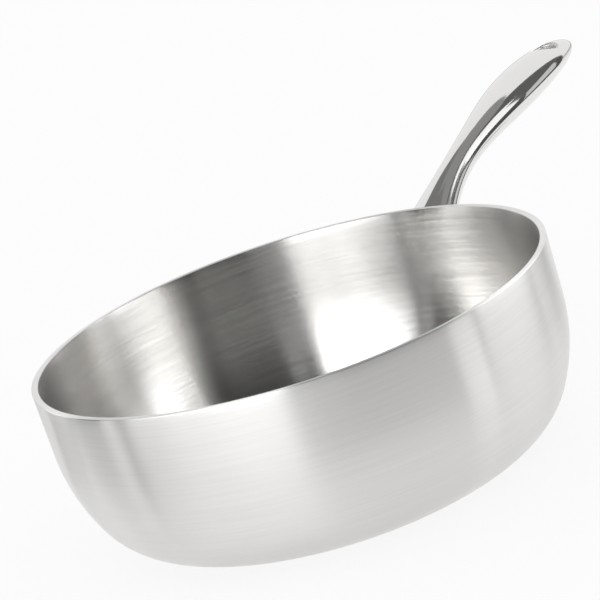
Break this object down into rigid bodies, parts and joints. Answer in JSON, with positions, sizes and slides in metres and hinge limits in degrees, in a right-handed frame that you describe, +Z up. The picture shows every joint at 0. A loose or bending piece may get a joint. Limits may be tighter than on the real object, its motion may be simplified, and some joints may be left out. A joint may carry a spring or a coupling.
{
  "type": "saucier pan",
  "caption": "Clad steel saucier pan with a straight wall that rounds into a flat base, and a hollow polished handle welded to the wall, with a hanging hole near its tip.",
  "frame": {"origin": "centre of the flat base, on the surface that the pan stands on", "axes": "+X along the handle and away from the pan, +Z up out of the bowl, +Y to the left when looking along the handle"},
  "size_m": [0.4156, 0.24, 0.1157],
  "materials": {
    "inner_steel": "stainless steel, brushed round the axis",
    "bond_aluminium": "rolled, bonded, seen only as an edge",
    "core_aluminium": "rolled, bonded, seen only as an edge",
    "outer_steel": "magnetic stainless steel, satin brushed round the axis",
    "weld_steel": "as welded",
    "bracket_steel": "cast stainless steel, satin",
    "handle_steel": "stainless steel, mirror polished"
  },
  "bodies": {
    "root": {"inner_ply": "inner_steel", "inner_bond_ply": "bond_aluminium", "core_ply": "core_aluminium", "outer_bond_ply": "bond_aluminium", "outer_ply": "outer_steel", "projection_welds": "weld_steel", "handle_bracket": "bracket_steel", "handle_upper_shell": "handle_steel", "handle_lower_shell": "handle_steel", "hanging_sleeve": "handle_steel"}
  },
  "joints": []
}
